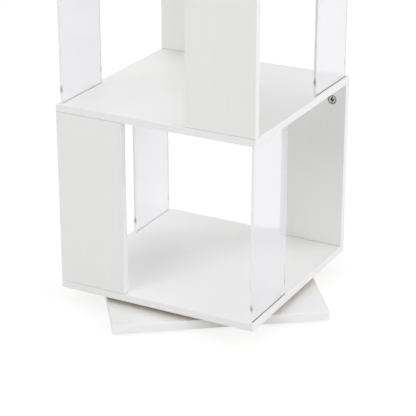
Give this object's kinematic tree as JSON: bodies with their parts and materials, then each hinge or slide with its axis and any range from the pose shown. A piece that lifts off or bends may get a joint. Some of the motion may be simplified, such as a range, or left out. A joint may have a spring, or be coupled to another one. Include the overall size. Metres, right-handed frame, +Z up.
{
  "type": "revolving bookcase",
  "caption": "Tall square bookcase tower of open tiers between decks, with board and clear panels set as a pinwheel, turning on a flat turntable above a square base board.",
  "frame": {"origin": "on the floor under the feet, on the vertical axis that the tower turns about", "axes": "+Z up along the turning axis; -Y is the tower's front face and +X its right face, parallel to the decks' sides; the base board stands turned 36.2 degrees about Z under it"},
  "size_m": [0.4746, 0.4746, 1.8153],
  "materials": {
    "melamine_board": "satin white melamine on particle board, fine vertical grain",
    "acrylic_sheet": "clear polished acrylic",
    "zinc_steel": "zinc plated",
    "cage_plastic": "moulded nylon with steel balls",
    "foot_plastic": "moulded glide"
  },
  "bodies": {
    "base": {"base_board": "melamine_board", "base_foot_1": "foot_plastic", "base_foot_2": "foot_plastic", "base_foot_3": "foot_plastic", "base_foot_4": "foot_plastic", "turntable_lower_plate": "zinc_steel", "lower_plate_screw_1": "zinc_steel", "lower_plate_screw_2": "zinc_steel", "lower_plate_screw_3": "zinc_steel", "lower_plate_screw_4": "zinc_steel"},
    "ball_ring": {"turntable_ball_cage": "cage_plastic"},
    "tower": {"turntable_upper_plate": "zinc_steel", "upper_plate_screw_1": "zinc_steel", "upper_plate_screw_2": "zinc_steel", "upper_plate_screw_3": "zinc_steel", "upper_plate_screw_4": "zinc_steel", "bottom_deck": "melamine_board", "shelf_deck_1": "melamine_board", "shelf_deck_2": "melamine_board", "shelf_deck_3": "melamine_board", "shelf_deck_4": "melamine_board", "shelf_deck_5": "melamine_board", "top_deck": "melamine_board", "tier_1_front_panel": "melamine_board", "tier_1_back_panel": "melamine_board", "tier_1_left_acrylic": "acrylic_sheet", "tier_1_right_acrylic": "acrylic_sheet", "tier_2_front_panel": "melamine_board", "tier_2_back_panel": "melamine_board", "tier_2_left_acrylic": "acrylic_sheet", "tier_2_right_acrylic": "acrylic_sheet", "tier_3_front_panel": "melamine_board", "tier_3_back_panel": "melamine_board", "tier_3_left_acrylic": "acrylic_sheet", "tier_3_right_acrylic": "acrylic_sheet", "tier_4_front_panel": "melamine_board", "tier_4_back_panel": "melamine_board", "tier_4_left_acrylic": "acrylic_sheet", "tier_4_right_acrylic": "acrylic_sheet", "tier_5_front_panel": "melamine_board", "tier_5_back_panel": "melamine_board", "tier_5_left_acrylic": "acrylic_sheet", "tier_5_right_acrylic": "acrylic_sheet", "tier_6_front_panel": "melamine_board", "tier_6_back_panel": "melamine_board", "tier_6_left_acrylic": "acrylic_sheet", "tier_6_right_acrylic": "acrylic_sheet", "tier_1_front_cam_1": "zinc_steel", "tier_1_front_cam_2": "zinc_steel", "tier_1_back_cam_1": "zinc_steel", "tier_1_back_cam_2": "zinc_steel", "tier_1_front_cam_bolt_1": "zinc_steel", "tier_1_front_cam_bolt_2": "zinc_steel", "tier_1_back_cam_bolt_1": "zinc_steel", "tier_1_back_cam_bolt_2": "zinc_steel", "tier_1_front_panel_screw_1": "zinc_steel", "tier_1_front_panel_screw_2": "zinc_steel", "tier_1_back_panel_screw_1": "zinc_steel", "tier_1_back_panel_screw_2": "zinc_steel"}
  },
  "joints": [
    {"name": "revolve", "type": "hinge", "parent": "base", "child": "tower", "pos_m": [0, 0, 0.0233], "axis": [0, 0, 1], "continuous": true},
    {"name": "ball_ring_roll", "type": "hinge", "parent": "base", "child": "ball_ring", "pos_m": [0, 0, 0.0233], "axis": [0, 0, 1], "continuous": true}
  ],
  "couplings": [
    {"joint": "ball_ring_roll", "follows": "revolve", "ratio": 0.5}
  ]
}
